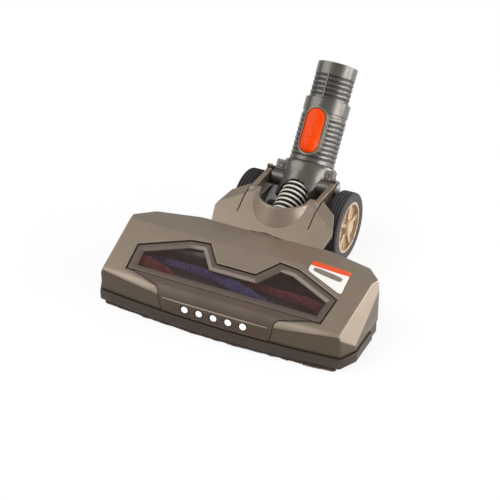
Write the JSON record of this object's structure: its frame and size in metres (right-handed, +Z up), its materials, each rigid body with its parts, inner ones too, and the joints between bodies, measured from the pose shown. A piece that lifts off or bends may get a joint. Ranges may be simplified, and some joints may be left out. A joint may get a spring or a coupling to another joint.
{
  "type": "vacuum cleaner floor brush head",
  "caption": "Motorised floor head for a stick vacuum: windowed brush roller, front lamps, rear wheels and a tilting, swivelling neck with a push-button tube socket.",
  "frame": {"origin": "middle of the front glide strip's flat underside, where the head rests on the floor", "axes": "+Z up, +Y from the lamp front towards the neck and tube, +X to the right seen from the front"},
  "size_m": [0.2422, 0.268, 0.1548],
  "materials": {
    "body_plastic": "metallic olive grey, satin",
    "base_plastic": "dark grey, fine texture",
    "bumper_plastic": "dark brown grey",
    "window_border": "dark brown grey, bevelled",
    "smoked_lens": "smoked clear plastic",
    "panel_plastic": "dark brown, finely ribbed",
    "lamp_lens": "milky white lamp",
    "circuit_board": "green board",
    "felt_strip": "dark flock",
    "rubber_strip": "black rubber",
    "steel": "plain steel",
    "roller_plastic": "black plastic",
    "blue_bristle": "blue tufted strip",
    "red_bristle": "dark red tufted strip",
    "bearing_plastic": "white engineering plastic",
    "duct_plastic": "black plastic",
    "hose_plastic": "pale ribs with dark valleys",
    "tyre_rubber": "black soft tread",
    "rim_plastic": "rose gold metallic",
    "neck_plastic": "metallic grey, satin",
    "button_plastic": "bright orange"
  },
  "bodies": {
    "head": {"base_housing": "base_plastic", "top_cover": "body_plastic", "window_frame": "window_border", "window_lens": "smoked_lens", "light_panel": "panel_plastic", "led_lamps": "lamp_lens", "led_board": "circuit_board", "bumper": "bumper_plastic", "front_strip": "felt_strip", "rear_strip": "rubber_strip", "base_screws": "steel", "bearing_left": "bearing_plastic", "bearing_right": "bearing_plastic", "motor": "steel", "motor_bracket": "base_plastic", "belt": "rubber_strip", "control_board": "circuit_board", "suction_duct": "duct_plastic", "hose": "hose_plastic", "pivot_pin_left": "steel", "pivot_pin_right": "steel", "axle_left": "steel", "axle_right": "steel"},
    "roller": {"roller_core": "roller_plastic", "roller_shaft": "steel", "bristles_blue": "blue_bristle", "bristles_red": "red_bristle", "roller_pulley": "bearing_plastic"},
    "motor_pulley": {"motor_pulley": "bearing_plastic"},
    "wheel_left": {"rim_left": "rim_plastic", "tyre_left": "tyre_rubber", "hub_cap_left": "rim_plastic"},
    "wheel_right": {"rim_right": "rim_plastic", "tyre_right": "tyre_rubber", "hub_cap_right": "rim_plastic"},
    "neck": {"elbow": "neck_plastic", "ear_screws": "steel", "hose_cuff": "bearing_plastic", "snap_ring": "steel"},
    "swivel": {"tube_socket": "neck_plastic", "button_bezel": "neck_plastic", "wand_tube": "neck_plastic"},
    "button": {"release_button": "button_plastic"}
  },
  "joints": [
    {"name": "roller_spin", "type": "hinge", "parent": "head", "child": "roller", "pos_m": [0, 0.026, 0.0195], "axis": [1, 0, 0], "continuous": true},
    {"name": "motor_pulley_spin", "type": "hinge", "parent": "head", "child": "motor_pulley", "pos_m": [-0.105, 0.0592, 0.032], "axis": [1, 0, 0], "continuous": true},
    {"name": "wheel_left_spin", "type": "hinge", "parent": "head", "child": "wheel_left", "pos_m": [-0.047, 0.1555, 0.032], "axis": [1, 0, 0], "continuous": true},
    {"name": "wheel_right_spin", "type": "hinge", "parent": "head", "child": "wheel_right", "pos_m": [0.047, 0.1555, 0.032], "axis": [1, 0, 0], "continuous": true},
    {"name": "neck_tilt", "type": "hinge", "parent": "head", "child": "neck", "pos_m": [0, 0.166, 0.06], "axis": [-1, 0, 0], "range_deg": [-30, 42], "deforming": ["hose"]},
    {"name": "neck_swivel", "type": "hinge", "parent": "neck", "child": "swivel", "pos_m": [0, 0.19137, 0.0761], "axis": [0, 0.5934, 0.8049], "range_deg": [-90, 90]},
    {"name": "button_press", "type": "slide", "parent": "swivel", "child": "button", "axis": [0, 0.8049, -0.5934], "range_m": [0, 0.0012], "stiffness_N_per_m": 1500}
  ],
  "couplings": [
    {"joint": "motor_pulley_spin", "follows": "roller_spin", "ratio": 2.2917}
  ]
}
